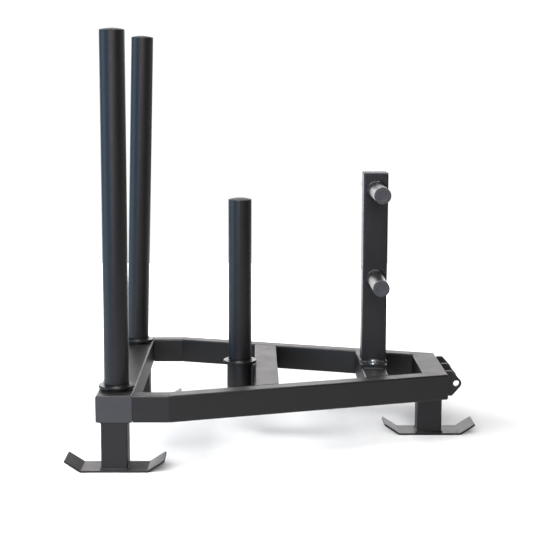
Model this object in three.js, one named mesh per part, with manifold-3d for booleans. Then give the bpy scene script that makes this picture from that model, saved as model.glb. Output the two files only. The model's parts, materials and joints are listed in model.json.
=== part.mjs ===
import * as THREE from 'three';
import { mergeVertices } from 'three/addons/utils/BufferGeometryUtils.js';
import Module from 'manifold-3d';

const wasm = await Module();
wasm.setup();

// Push sled, in millimetres. +X is the towing end, +Y the sled's left, +Z up.
// The origin is on the floor, halfway along and across the sled.

// Frame
const frame_width = 584;
const frame_length = 696;
const frame_tube_height = 52;
const tube_wall = 2.5;
const tube_corner_radius = 3.5;
const rear_tube_width = 70;
const rail_width = 35;
const stub_length = 71;
const nose_tube_width = 50;
const nose_span = 222;
const front_tube_width = 50;
const front_tube_set_back = 146.5;
const mid_tube_width = 48;
const mid_tube_from_rear = 326;

// Legs and skids
const leg_side = 50.8;
const leg_height = 91.3;
const skid_thickness = 4;
const skid_width = 67;
const skid_flat_length = 129;
const skid_flap_length = 38;
const skid_flap_angle = THREE.MathUtils.degToRad(33);
const skid_bend_radius = 4;

// Round posts: the two push poles and the weight post share one tube
const pole_diameter = 48.3;
const pole_wall = 2.5;
const pole_length = 727;
const pole_from_side = 63;
const pole_insertion = 47;
const pole_play = 1.1;
const left_pole_lean = THREE.MathUtils.degToRad(1.5);
const weight_post_length = 433;
const weight_post_insertion = 90;
const weight_post_play = 0.5;
const socket_wall = 2.4;
const socket_rim = 2.5;
const weight_socket_length = 100;
const collar_diameter = 70;
const collar_thickness = 6;
const collar_chamfer = 1.5;
const collar_fillet = 3;
const round_cap_dome = 3.5;
const round_cap_rim = 1.5;

// Square front post with its grip pegs
const post_side = 50.8;
const post_length = 391.7;
const post_set_forward = 2;
const post_cap_thickness = 3.5;
const post_plate_thickness = 4;
const post_plate_span = 108;
const post_plate_width = 54;
const post_bolt_spacing = 86;
const peg_diameter = 33.4;
const peg_wall = 2.5;
const peg_reach = 133;
const top_peg_drop = 35.8;
const peg_pitch = 184;
const peg_set_forward = 1;
const peg_cap_thickness = 3;
const peg_dish_share = 0.6;

// Tow lugs on the nose
const lug_thickness = 8;
const lug_spacing = 72;
const lug_shoulder = 13;
const lug_eye_reach = 21.5;
const lug_nose_radius = 10.5;
const lug_eye_diameter = 12.5;

// Bolts of the front post
const bolt_diameter = 10;
const bolt_length = 25;
const bolt_head_width = 17;
const bolt_head_height = 6.4;
const bolt_hole_play = 0.5;
const washer_diameter = 20;
const washer_thickness = 2;
const nut_height = 8;

// Plastic plugs that close tube ends
const plug_depth = 18;
const plug_wall = 2;
const end_cap_thickness = 3;

// Clearances
const weld_gap = 0.3;
const plug_clearance = 0.3;
const seat_gap = 0.3;
const cut_overrun = 5;

// Facets of round parts and of tube corners
const round_segments = 32;
const small_round_segments = 20;
const corner_segments = 2;

// Sizes that follow from the ones above
const half_frame = frame_width / 2;
const half_nose = nose_span / 2;
const frame_bottom = skid_thickness + leg_height;
const frame_top = frame_bottom + frame_tube_height;
const frame_middle = frame_bottom + frame_tube_height / 2;
const rear_leg_x = rear_tube_width / 2;
const nose_x = frame_length - nose_tube_width / 2;
const front_tube_x = frame_length - front_tube_set_back;
const front_leg_x = nose_x;
const rear_leg_y = half_frame - leg_side / 2;
const bend_x = rear_tube_width + stub_length;
const origin_x = (rear_leg_x + front_leg_x) / 2;
const rail_run = new THREE.Vector2(frame_length - bend_x, half_nose - half_frame);
const rail_angle = Math.atan2(-rail_run.y, rail_run.x);
const rail_slope = Math.tan(rail_angle);
const rail_width_across = rail_width / Math.cos(rail_angle);
const pole_radius = pole_diameter / 2;
const pole_y = half_frame - pole_from_side;
const socket_rim_z = frame_top + socket_rim;
const collar_seat_z = socket_rim_z + seat_gap;
const post_x = front_tube_x + post_set_forward;
const post_foot_z = frame_top + weld_gap + 2 * post_plate_thickness;

// Inner face of the rails: its distance from the centre plane at a place along the sled
const railInnerY = x => half_frame - (x - bend_x) * rail_slope - rail_width_across;

// Finishes
const finishes = {
    frame_coat: { color: 0x222326, roughness: 0.5, metalness: 0.1 },
    pole_coat: { color: 0x24272b, roughness: 0.42, metalness: 0.1 },
    cap_plastic: { color: 0x35393f, roughness: 0.6, metalness: 0 },
    zinc: { color: 0xb9bdc2, roughness: 0.3, metalness: 1 },
};

// Solids: a geometry becomes a solid to be joined or cut, and comes back as a geometry
function toSolid(geometry) {
    const bare = geometry.clone();
    bare.deleteAttribute('normal');
    bare.deleteAttribute('uv');
    const merged = mergeVertices(bare);
    const corners = merged.index.array;
    const triangles = [];
    for (let i = 0; i < corners.length; i += 3) {
        const [a, b, c] = [corners[i], corners[i + 1], corners[i + 2]];
        if (a !== b && b !== c && c !== a) triangles.push(a, b, c);
    }
    return new wasm.Manifold(new wasm.Mesh({
        numProp: 3,
        vertProperties: new Float32Array(merged.attributes.position.array),
        triVerts: new Uint32Array(triangles),
    }));
}

function toGeometry(solid) {
    const mesh = solid.getMesh();
    const geometry = new THREE.BufferGeometry();
    geometry.setAttribute('position', new THREE.BufferAttribute(mesh.vertProperties, 3));
    geometry.setIndex(new THREE.BufferAttribute(mesh.triVerts, 1));
    geometry.computeVertexNormals();
    return geometry;
}

function cut(geometry, ...tools) {
    return toGeometry(tools.reduce((solid, tool) => solid.subtract(toSolid(tool)), toSolid(geometry)));
}

function join(...geometries) {
    const [first, ...rest] = geometries.map(toSolid);
    return toGeometry(rest.reduce((solid, next) => solid.add(next), first));
}

// Outlines
function roundedRectangle(width, height, radius, Outline = THREE.Shape) {
    const right = width / 2 - radius;
    const top = height / 2 - radius;
    const outline = new Outline();
    const quarter = Math.PI / 2;
    outline.absarc(right, top, radius, 0, quarter);
    outline.absarc(-right, top, radius, quarter, 2 * quarter);
    outline.absarc(-right, -top, radius, 2 * quarter, 3 * quarter);
    outline.absarc(right, -top, radius, 3 * quarter, 4 * quarter);
    outline.closePath();
    return outline;
}

function tubeOutline(width, height) {
    const outline = roundedRectangle(width, height, tube_corner_radius);
    const inner_radius = tube_corner_radius - tube_wall;
    const bore = roundedRectangle(width - 2 * tube_wall, height - 2 * tube_wall, inner_radius, THREE.Path);
    outline.holes.push(bore);
    return outline;
}

function extrude(outline, depth, segments = corner_segments) {
    return new THREE.ExtrudeGeometry(outline, { depth, bevelEnabled: false, curveSegments: segments });
}

// A tube along local Z whose two ends are slanted across its width:
// an end lies at its middle distance plus its slant times the place across the tube
function slantedTube(width, height, from, to, from_slant = 0, to_slant = 0) {
    const geometry = extrude(tubeOutline(width, height), to - from);
    const place = geometry.attributes.position;
    for (let i = 0; i < place.count; i++) {
        const across = place.getX(i);
        const at_end = place.getZ(i) > (to - from) / 2;
        place.setZ(i, at_end ? to + across * to_slant : from + across * from_slant);
    }
    return toGeometry(toSolid(geometry));
}

// Round pieces about local Z: the profile runs up the outside and back down the inside
function turned(profile, segments = round_segments) {
    const points = profile.map(([radius, height]) => new THREE.Vector2(radius, height));
    points.push(points[0].clone());
    const lathe = new THREE.LatheGeometry(points, segments);
    lathe.rotateX(Math.PI / 2);
    return toGeometry(toSolid(lathe));
}

function roundTube(outer_radius, inner_radius, bottom, top, segments = round_segments) {
    return turned([
        [inner_radius, bottom],
        [outer_radius, bottom],
        [outer_radius, top],
        [inner_radius, top],
    ], segments);
}

function roundRod(radius, bottom, top, segments = round_segments) {
    const rod = new THREE.CylinderGeometry(radius, radius, top - bottom, segments);
    rod.rotateX(Math.PI / 2);
    rod.translate(0, 0, (top + bottom) / 2);
    return rod;
}

function hexagonPrism(across_flats, bottom, top) {
    return roundRod(across_flats / 2 / Math.cos(Math.PI / 6), bottom, top, 6);
}

// Scene graph
const sled = new THREE.Group();
sled.position.x = -origin_x;

function addMesh(parent, name, geometry, finish) {
    const mesh = new THREE.Mesh(geometry, new THREE.MeshStandardMaterial(finishes[finish]));
    mesh.name = name;
    parent.add(mesh);
    return mesh;
}

function addGroup(parent, x, y, z) {
    const group = new THREE.Group();
    group.position.set(x, y, z);
    parent.add(group);
    return group;
}

// Turns a tube's local Z to a heading in the floor plane, with its height kept upright
function layAlong(mesh, heading) {
    const forward = new THREE.Vector3(Math.cos(heading), Math.sin(heading), 0);
    const up = new THREE.Vector3(0, 0, 1);
    const across = new THREE.Vector3().crossVectors(up, forward);
    mesh.setRotationFromMatrix(new THREE.Matrix4().makeBasis(across, up, forward));
}

const sides = [
    { name: 'right', sign: -1 },
    { name: 'left', sign: 1 },
];

// Plug for a square or flat tube end: a flange with a hollow skirt behind it, along local Z
function tubePlug(width, height, thickness) {
    const flange = extrude(roundedRectangle(width, height, tube_corner_radius), thickness);
    const inset = 2 * (tube_wall + plug_clearance);
    const skirt_radius = Math.max(tube_corner_radius - tube_wall - plug_clearance, plug_wall / 2);
    const skirt_outline = roundedRectangle(width - inset, height - inset, skirt_radius);
    const hollow = inset + 2 * plug_wall;
    skirt_outline.holes.push(roundedRectangle(width - hollow, height - hollow, plug_wall / 2, THREE.Path));
    const skirt = extrude(skirt_outline, plug_depth + thickness / 2);
    skirt.translate(0, 0, -plug_depth);
    return join(flange, skirt);
}

// Plug for a round tube end, along local Z, flange foot at zero
function roundPlug(radius, wall, rim, dome) {
    const skirt_outer = radius - wall - plug_clearance;
    const skirt_inner = skirt_outer - plug_wall;
    const steps = 3;
    const profile = [
        [0, rim / 2],
        [skirt_inner, rim / 2],
        [skirt_inner, -plug_depth],
        [skirt_outer, -plug_depth],
        [skirt_outer, 0],
        [radius, 0],
    ];
    for (let i = 0; i <= steps; i++) {
        const turn = (Math.PI / 2) * (i / steps);
        profile.push([radius * Math.cos(turn), rim + dome * Math.sin(turn)]);
    }
    return turned(profile);
}

// Rear cross tube, with a hole in its top wall for each push pole socket
const socket_bore_radius = pole_radius + pole_play;
const socket_outer_radius = socket_bore_radius + socket_wall;
const rear_tube_length = frame_width - 2 * end_cap_thickness;

function rearCrossTube() {
    const half_length = rear_tube_length / 2;
    const tube = slantedTube(rear_tube_width, frame_tube_height, -half_length, half_length);
    const holes = sides.map(({ sign }) => {
        const hole = roundRod(socket_outer_radius + weld_gap, 0, frame_tube_height / 2 + cut_overrun);
        hole.rotateX(-Math.PI / 2);
        hole.translate(0, 0, sign * pole_y);
        return hole;
    });
    return cut(tube, ...holes);
}

const rear_tube = addMesh(sled, 'rear_cross_tube', rearCrossTube(), 'frame_coat');
rear_tube.position.set(rear_leg_x, 0, frame_middle);
layAlong(rear_tube, Math.PI / 2);

for (const { name, sign } of sides) {
    const plug = tubePlug(rear_tube_width, frame_tube_height, end_cap_thickness);
    const cap = addMesh(sled, `rear_end_cap_${name}`, plug, 'cap_plastic');
    cap.position.set(rear_leg_x, sign * (rear_tube_length / 2 + seat_gap), frame_middle);
    layAlong(cap, sign * Math.PI / 2);
}

// Side rails: a straight stub off the rear tube, then a long rail that runs in to the nose.
// The stub and the rail meet on a mitre, and so do the rail and the nose tube.
const bend_slant = Math.tan(rail_angle / 2);
const rail_length = rail_run.length();
const nose_inner_y = railInnerY(frame_length - nose_tube_width);
const nose_slant = (half_nose - nose_inner_y) / nose_tube_width;
const rail_end_slant = Math.tan(Math.PI / 2 - Math.atan(nose_slant) - rail_angle);

for (const { name, sign } of sides) {
    const stub_middle_end = stub_length - (rail_width / 2) * bend_slant - weld_gap / 2;
    const stub = addMesh(
        sled,
        `rail_stub_${name}`,
        slantedTube(rail_width, frame_tube_height, weld_gap, stub_middle_end, 0, sign * bend_slant),
        'frame_coat',
    );
    stub.position.set(rear_tube_width, sign * (half_frame - rail_width / 2), frame_middle);
    layAlong(stub, 0);

    const start = (rail_width / 2) * bend_slant + weld_gap / 2;
    const end = rail_length - (rail_width / 2) * rail_end_slant - weld_gap / 2;
    const rail = addMesh(
        sled,
        `side_rail_${name}`,
        slantedTube(rail_width, frame_tube_height, start, end, -sign * bend_slant, sign * rail_end_slant),
        'frame_coat',
    );
    const inward_x = -Math.sin(rail_angle) * rail_width / 2;
    const inward_y = -Math.cos(rail_angle) * rail_width / 2;
    rail.position.set(bend_x + inward_x, sign * (half_frame + inward_y), frame_middle);
    layAlong(rail, -sign * rail_angle);
}

// Nose tube between the rail ends
const nose_half_middle = (half_nose + nose_inner_y) / 2 - weld_gap / 2;
const nose_tube = addMesh(
    sled,
    'nose_tube',
    slantedTube(nose_tube_width, frame_tube_height, -nose_half_middle, nose_half_middle, nose_slant, -nose_slant),
    'frame_coat',
);
nose_tube.position.set(nose_x, 0, frame_middle);
layAlong(nose_tube, Math.PI / 2);

// Cross tubes between the rails, their ends cut to the rails' slope
const cross_end_gap = weld_gap / Math.cos(rail_angle);

function crossTube(width, from_rear) {
    const half_length = railInnerY(from_rear) - cross_end_gap;
    return slantedTube(width, frame_tube_height, -half_length, half_length, -rail_slope, rail_slope);
}

const mid_tube = addMesh(sled, 'mid_cross_tube', crossTube(mid_tube_width, mid_tube_from_rear), 'frame_coat');
mid_tube.position.set(mid_tube_from_rear, 0, frame_middle);
layAlong(mid_tube, Math.PI / 2);

const bolt_hole_radius = bolt_diameter / 2 + bolt_hole_play;

function frontCrossTube() {
    const tube = crossTube(front_tube_width, front_tube_x);
    const holes = sides.map(({ sign }) => {
        const hole = roundRod(bolt_hole_radius, 0, frame_tube_height / 2 + cut_overrun, small_round_segments);
        hole.rotateX(-Math.PI / 2);
        hole.translate(0, 0, sign * post_bolt_spacing / 2);
        return hole;
    });
    return cut(tube, ...holes);
}

const front_tube = addMesh(sled, 'front_cross_tube', frontCrossTube(), 'frame_coat');
front_tube.position.set(front_tube_x, 0, frame_middle);
layAlong(front_tube, Math.PI / 2);

// Tow lugs: a flat plate with a sloping outline and a rounded nose round the eye
function towLug() {
    const half_height = frame_tube_height / 2;
    const corner = new THREE.Vector2(lug_shoulder - lug_eye_reach, half_height);
    const tangent_turn = Math.atan2(corner.y, corner.x) - Math.acos(lug_nose_radius / corner.length());
    const outline = new THREE.Shape();
    outline.moveTo(0, -half_height);
    outline.lineTo(lug_shoulder, -half_height);
    outline.absarc(lug_eye_reach, 0, lug_nose_radius, -tangent_turn, tangent_turn);
    outline.lineTo(lug_shoulder, half_height);
    outline.lineTo(0, half_height);
    outline.closePath();
    const eye = new THREE.Path();
    eye.absarc(lug_eye_reach, 0, lug_eye_diameter / 2, 0, 2 * Math.PI);
    outline.holes.push(eye);
    const plate = extrude(outline, lug_thickness, small_round_segments / 2);
    plate.translate(0, 0, -lug_thickness / 2);
    plate.rotateX(Math.PI / 2);
    return toGeometry(toSolid(plate));
}

const lug_rows = [...sides, { name: 'centre', sign: 0 }];
for (const { name, sign } of lug_rows) {
    const lug = addMesh(sled, `tow_lug_${name}`, towLug(), 'frame_coat');
    lug.position.set(frame_length + weld_gap, sign * lug_spacing, frame_middle);
}

// Legs and skids: two at the rear corners and one under the nose
function bentSkid() {
    const inner = skid_bend_radius;
    const outer = skid_bend_radius + skid_thickness;
    const bend_start = skid_flat_length / 2 - outer * Math.tan(skid_flap_angle / 2);
    const straight = skid_flap_length - outer * Math.tan(skid_flap_angle / 2);
    const along = new THREE.Vector2(Math.cos(skid_flap_angle), Math.sin(skid_flap_angle));
    const down = -Math.PI / 2;
    const outline = new THREE.Shape();
    outline.absarc(bend_start, outer, outer, down, down + skid_flap_angle);
    const bottom_tip = outline.currentPoint.clone().addScaledVector(along, straight);
    outline.lineTo(bottom_tip.x, bottom_tip.y);
    outline.lineTo(bottom_tip.x - along.y * skid_thickness, bottom_tip.y + along.x * skid_thickness);
    outline.absarc(bend_start, outer, inner, down + skid_flap_angle, down, true);
    outline.absarc(-bend_start, outer, inner, down, down - skid_flap_angle, true);
    outline.lineTo(-bottom_tip.x + along.y * skid_thickness, bottom_tip.y + along.x * skid_thickness);
    outline.lineTo(-bottom_tip.x, bottom_tip.y);
    outline.absarc(-bend_start, outer, outer, down - skid_flap_angle, down);
    outline.closePath();
    const plate = extrude(outline, skid_width);
    plate.translate(0, 0, -skid_width / 2);
    plate.rotateX(Math.PI / 2);
    return toGeometry(toSolid(plate));
}

const leg_rows = [
    { leg: 'rear_leg_right', skid: 'skid_rear_right', x: rear_leg_x, y: -rear_leg_y },
    { leg: 'rear_leg_left', skid: 'skid_rear_left', x: rear_leg_x, y: rear_leg_y },
    { leg: 'front_leg', skid: 'skid_front', x: front_leg_x, y: 0 },
];
for (const row of leg_rows) {
    const foot = addGroup(sled, row.x, row.y, 0);
    addMesh(foot, row.skid, bentSkid(), 'frame_coat');
    const leg = addMesh(foot, row.leg, slantedTube(leg_side, leg_side, weld_gap, leg_height - weld_gap), 'frame_coat');
    leg.position.z = skid_thickness;
}

// Round posts: a tube with a welded collar that rests on the socket's rim, and a domed plug.
// Local zero is the underside of the collar.
function collarRing() {
    const outer = collar_diameter / 2;
    const inner = pole_radius + weld_gap;
    return turned([
        [inner, 0],
        [outer - collar_chamfer, 0],
        [outer, collar_chamfer],
        [outer, collar_thickness - collar_chamfer],
        [outer - collar_chamfer, collar_thickness],
        [inner + collar_fillet, collar_thickness],
        [inner, collar_thickness + collar_fillet],
    ]);
}

function addRoundPost(group, names, length, insertion) {
    const top = length - insertion;
    const tube = roundTube(pole_radius, pole_radius - pole_wall, -insertion, top);
    addMesh(group, names.tube, tube, 'pole_coat');
    addMesh(group, names.collar, collarRing(), 'frame_coat');
    const plug = roundPlug(pole_radius, pole_wall, round_cap_rim, round_cap_dome);
    const cap = addMesh(group, names.cap, plug, 'cap_plastic');
    cap.position.z = top + seat_gap;
}

// Push poles in their sockets, which stand on the rear tube's bottom wall.
// Play in the socket lets the left pole lean forward on its collar's front edge.
const socket_floor_z = frame_bottom + tube_wall + weld_gap;

for (const { name, sign } of sides) {
    const y = sign * pole_y;
    const socket = addMesh(
        sled,
        `pole_socket_${name}`,
        roundTube(socket_outer_radius, socket_bore_radius, socket_floor_z, socket_rim_z),
        'frame_coat',
    );
    socket.position.set(rear_leg_x, y, 0);

    const lean = name === 'left' ? left_pole_lean : 0;
    const tipping_edge = lean === 0 ? 0 : socket_outer_radius;
    const shift_in_socket = Math.sin(lean) * pole_insertion / 2;
    const tipped = addGroup(sled, rear_leg_x + tipping_edge, y, collar_seat_z);
    tipped.rotation.y = lean;
    const pole = addGroup(tipped, shift_in_socket - tipping_edge, 0, 0);
    const names = { tube: `push_pole_${name}`, collar: `pole_collar_${name}`, cap: `pole_cap_${name}` };
    addRoundPost(pole, names, pole_length, pole_insertion);
}

// Weight post in a long socket close behind the middle cross tube, held by a saddle bracket
const weight_bore_radius = pole_radius + weight_post_play;
const weight_socket_radius = weight_bore_radius + socket_wall;
const weight_socket_from_tube = 3.8;
const weight_post_x = mid_tube_from_rear - mid_tube_width / 2 - weight_socket_from_tube - weight_socket_radius;
const saddle_width_share = 0.5;
const saddle_height_share = 0.9;

const weight_socket = addMesh(
    sled,
    'weight_socket',
    roundTube(weight_socket_radius, weight_bore_radius, -weight_socket_length, 0),
    'frame_coat',
);
weight_socket.position.set(weight_post_x, 0, socket_rim_z);

function saddleBracket() {
    const reach = weight_socket_radius + weight_socket_from_tube - weld_gap;
    const width = 2 * weight_socket_radius * saddle_width_share;
    const height = frame_tube_height * saddle_height_share;
    const block = new THREE.BoxGeometry(reach, width, height);
    block.translate(reach / 2, 0, 0);
    const seat = roundRod(weight_socket_radius + weld_gap, -height, height);
    return cut(block, seat);
}

const saddle = addMesh(sled, 'weight_socket_saddle', saddleBracket(), 'frame_coat');
saddle.position.set(weight_post_x, 0, frame_middle);

const weight_post = addGroup(sled, weight_post_x, 0, collar_seat_z);
const weight_names = { tube: 'weight_post', collar: 'weight_post_collar', cap: 'weight_post_cap' };
addRoundPost(weight_post, weight_names, weight_post_length, weight_post_insertion);

// Front post: two plates bolted face to face, the lower on the cross tube, the upper under the post
function postPlate() {
    const outline = new THREE.Shape();
    const half_span = post_plate_span / 2;
    const half_width = post_plate_width / 2;
    outline.moveTo(-half_width, -half_span);
    outline.lineTo(half_width, -half_span);
    outline.lineTo(half_width, half_span);
    outline.lineTo(-half_width, half_span);
    outline.closePath();
    for (const { sign } of sides) {
        const hole = new THREE.Path();
        hole.absarc(0, sign * post_bolt_spacing / 2, bolt_hole_radius, 0, 2 * Math.PI);
        outline.holes.push(hole);
    }
    return toGeometry(toSolid(extrude(outline, post_plate_thickness - seat_gap / 2, small_round_segments / 2)));
}

const post_seat = addGroup(sled, front_tube_x, 0, frame_top + weld_gap);
addMesh(post_seat, 'post_base_plate', postPlate(), 'frame_coat');
const post_flange = addMesh(post_seat, 'post_flange', postPlate(), 'frame_coat');
post_flange.position.z = post_plate_thickness + seat_gap / 2;

for (const { name, sign } of sides) {
    const y = sign * post_bolt_spacing / 2;
    const seat = addGroup(sled, front_tube_x, y, post_foot_z + seat_gap);
    const washer_bore = bolt_diameter / 2 + bolt_hole_play / 2;
    const washer = roundTube(washer_diameter / 2, washer_bore, 0, washer_thickness, small_round_segments);
    addMesh(seat, `post_washer_${name}`, washer, 'zinc');
    const head_foot = washer_thickness + seat_gap;
    const head = hexagonPrism(bolt_head_width, head_foot, head_foot + bolt_head_height);
    const shank = roundRod(bolt_diameter / 2, head_foot - bolt_length, head_foot + weld_gap, small_round_segments);
    addMesh(seat, `post_bolt_${name}`, join(head, shank), 'zinc');
    const nut_block = hexagonPrism(bolt_head_width, 0, nut_height);
    const nut_bore = roundRod(bolt_diameter / 2 + weld_gap, -cut_overrun, nut_height + cut_overrun, small_round_segments);
    const nut = addMesh(sled, `post_nut_${name}`, cut(nut_block, nut_bore), 'zinc');
    nut.position.set(front_tube_x, y, frame_top - tube_wall - weld_gap - nut_height);
}

const post = addGroup(sled, post_x, 0, post_foot_z + weld_gap);
addMesh(post, 'front_post', slantedTube(post_side, post_side, 0, post_length), 'frame_coat');
const post_cap = addMesh(post, 'front_post_cap', tubePlug(post_side, post_side, post_cap_thickness), 'cap_plastic');
post_cap.position.z = post_length + seat_gap;

// Grip pegs: short tubes on both sides of the front post, closed by plugs with a shallow round dish
function pegPlug() {
    const radius = peg_diameter / 2;
    const dish = peg_cap_thickness / 4;
    const dish_radius = radius * peg_dish_share;
    const skirt_outer = radius - peg_wall - plug_clearance;
    const skirt_inner = skirt_outer - plug_wall;
    return turned([
        [0, peg_cap_thickness / 2],
        [skirt_inner, peg_cap_thickness / 2],
        [skirt_inner, -plug_depth],
        [skirt_outer, -plug_depth],
        [skirt_outer, 0],
        [radius, 0],
        [radius, peg_cap_thickness - dish],
        [radius - dish, peg_cap_thickness],
        [dish_radius + dish, peg_cap_thickness],
        [dish_radius, peg_cap_thickness - dish],
        [0, peg_cap_thickness - dish],
    ], small_round_segments);
}

const post_top = post_length + seat_gap + post_cap_thickness;
const peg_rows = [
    { level: 'upper', height: post_top - top_peg_drop },
    { level: 'lower', height: post_top - top_peg_drop - peg_pitch },
];
const peg_tube_length = peg_reach - peg_cap_thickness - seat_gap;
for (const { level, height } of peg_rows) {
    for (const { name, sign } of sides) {
        const peg = addGroup(post, peg_set_forward, sign * post_side / 2, height);
        peg.rotation.x = -sign * Math.PI / 2;
        const tube = roundTube(
            peg_diameter / 2,
            peg_diameter / 2 - peg_wall,
            weld_gap,
            peg_tube_length,
            small_round_segments,
        );
        addMesh(peg, `peg_${level}_${name}`, tube, 'frame_coat');
        const cap = addMesh(peg, `peg_cap_${level}_${name}`, pegPlug(), 'cap_plastic');
        cap.position.z = peg_tube_length + seat_gap;
    }
}

export default sled;
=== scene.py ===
import json
import math
from collections import namedtuple

import bmesh
import bpy
from bpy.props import FloatProperty, FloatVectorProperty, IntProperty, PointerProperty
from mathutils import Matrix, Vector


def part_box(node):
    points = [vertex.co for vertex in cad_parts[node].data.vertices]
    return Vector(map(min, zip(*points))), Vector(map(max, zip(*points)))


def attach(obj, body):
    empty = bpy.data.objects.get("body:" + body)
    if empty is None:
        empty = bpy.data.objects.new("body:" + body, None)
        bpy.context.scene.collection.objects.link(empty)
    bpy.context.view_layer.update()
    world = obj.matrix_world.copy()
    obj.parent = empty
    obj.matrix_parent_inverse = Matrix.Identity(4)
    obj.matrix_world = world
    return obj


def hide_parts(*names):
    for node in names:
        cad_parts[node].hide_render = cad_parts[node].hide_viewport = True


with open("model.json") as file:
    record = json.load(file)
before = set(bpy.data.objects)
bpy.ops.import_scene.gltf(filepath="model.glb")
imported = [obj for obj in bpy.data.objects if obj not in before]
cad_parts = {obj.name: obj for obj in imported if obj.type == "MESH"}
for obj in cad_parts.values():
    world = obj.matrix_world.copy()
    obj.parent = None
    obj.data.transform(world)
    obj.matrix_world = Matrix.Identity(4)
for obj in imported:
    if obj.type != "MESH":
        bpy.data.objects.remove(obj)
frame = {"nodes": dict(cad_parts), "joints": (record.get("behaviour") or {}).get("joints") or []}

bl_info = {
    "name": "Push sled",
    "version": (1, 0, 0),
    "blender": (4, 5, 0),
    "location": "3D View > Sidebar > Push sled",
    "description": "Builds the finished surfaces of a push sled over its steel frame",
    "category": "Add Mesh",
}

# Everything is in metres: +X towards the tow lugs, +Y the sled's left, +Z up.
X_AXIS = Vector((1, 0, 0))
Y_AXIS = Vector((0, 1, 0))
Z_AXIS = Vector((0, 0, 1))
SIDES = (("right", -1), ("left", 1))
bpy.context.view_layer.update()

LEGS = ("rear_leg_right", "rear_leg_left", "front_leg")
SKIDS = ("skid_rear_right", "skid_rear_left", "skid_front")
SOCKETS = ("pole_socket_right", "pole_socket_left", "weight_socket")
TOW_LUGS = ("tow_lug_right", "tow_lug_centre", "tow_lug_left")
PEGS = tuple((f"{level}_{side}", sign) for level in ("upper", "lower") for side, sign in SIDES)

# Each round post, which is also a body, with its collar and its plug
ROUND_POSTS = (
    ("push_pole_right", "pole_collar_right", "pole_cap_right"),
    ("push_pole_left", "pole_collar_left", "pole_cap_left"),
    ("weight_post", "weight_post_collar", "weight_post_cap"),
)


def length_setting(name, description, metres):
    return FloatProperty(name=name, description=description, default=metres, min=0, unit="LENGTH")


def share_setting(name, description, share):
    return FloatProperty(name=name, description=description, default=share, min=0, max=1, subtype="FACTOR")


def angle_setting(name, description, degrees):
    return FloatProperty(name=name, description=description, default=math.radians(degrees), subtype="ANGLE")


def colour_setting(name, description, colour):
    return FloatVectorProperty(
        name=name, description=description, default=colour, subtype="COLOR", size=3, min=0, max=1)


def brightness_setting(name, description):
    return FloatProperty(name=name, description=description, default=1.0, min=0)


class SledShape(bpy.types.PropertyGroup):
    tube_corner: length_setting("Tube corner", "Outer corner radius of the square and flat tubes", 0.0035)
    tube_wall: length_setting("Tube wall", "Wall of the square and flat tubes", 0.0025)
    end_edge: length_setting("Cut edge", "Rounding of sawn tube ends", 0.0004)
    plate_edge: length_setting("Plate edge", "Rounding of plate edges under the coat", 0.0006)
    plug_edge: length_setting("Plug edge", "Rounding of the plastic plugs of flat tubes", 0.0014)
    skid_bend: length_setting("Skid bend", "Inner radius of the bend in a skid", 0.004)
    skid_flap: angle_setting("Skid flap angle", "How far a skid's ends are turned up", 33)
    skid_corner: length_setting("Skid corner", "Rounding of the corners of a skid's flaps", 0.004)
    lug_shoulder: length_setting("Lug shoulder", "Straight edge of a tow lug next to the nose", 0.013)
    lug_nose: length_setting("Lug nose", "Outer radius round a tow lug's eye", 0.0105)
    lug_eye: length_setting("Lug eye", "Radius of a tow lug's eye", 0.00625)
    collar_edge: length_setting("Collar edge", "Rounding of a collar's outer edges", 0.0015)
    collar_weld: length_setting("Collar weld", "Size of the weld between a collar and its post", 0.003)
    cap_dome: length_setting("Cap dome", "Rise of the dome on a round plug", 0.0035)
    cap_rim: length_setting("Cap rim", "Straight rim under the dome of a round plug", 0.0015)
    skirt_gap: length_setting("Plug skirt gap", "Room between a plug's skirt and its tube", 0.0003)
    skirt_wall: length_setting("Plug skirt wall", "Wall of a plug's skirt", 0.002)
    dish_depth: length_setting("Peg cap dish", "Depth of the round dish in a peg's plug", 0.0007)
    weld_radius: length_setting("Weld radius", "Size of a weld bead", 0.0028)
    weld_pitch: length_setting("Weld ripple", "Distance between the ripples of a weld bead", 0.0024)
    turn_steps: IntProperty(
        name="Steps round a turn", description="Faces round a turned piece", default=96, min=12)
    corner_steps: IntProperty(
        name="Steps round a corner", description="Faces round a tube's corner", default=6, min=1)


class SledFinish(bpy.types.PropertyGroup):
    coat: colour_setting("Coat", "Powder coat of the frame", (0.0072, 0.0072, 0.0078))
    pole_coat: colour_setting("Pole coat", "Powder coat of the round posts", (0.0068, 0.0071, 0.0082))
    # The pale colour along edges stands both for coat worn thin and for a painted highlight that rounded
    # edges catch
    thin_coat_and_edge_highlight: colour_setting("Thin coat and painted highlight", "Coat where it is thin over an edge", (0.10, 0.10, 0.105))
    plastic: colour_setting("Plug plastic", "Plastic of the tube plugs", (0.052, 0.053, 0.056))
    zinc: colour_setting("Zinc", "Zinc plate of bolts, washers and nuts", (0.62, 0.64, 0.67))
    dust: colour_setting("Dust", "Dust that lies on upward faces", (0.32, 0.31, 0.29))
    coat_roughness: share_setting("Coat roughness", "Roughness of the frame's coat", 0.42)
    pole_roughness: share_setting("Pole roughness", "Roughness of the round posts' coat", 0.38)
    peg_roughness: share_setting("Peg roughness", "Roughness of the grip pegs' coat", 0.34)
    weld_roughness: share_setting("Weld roughness", "Roughness of the coat on welds and collars", 0.32)
    plastic_roughness: share_setting("Plastic roughness", "Roughness of the plugs", 0.55)
    grain: length_setting("Powder grain", "Size of the coat's grain", 0.0009)
    grain_depth: length_setting("Grain depth", "Depth of the coat's grain", 0.00006)


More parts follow.
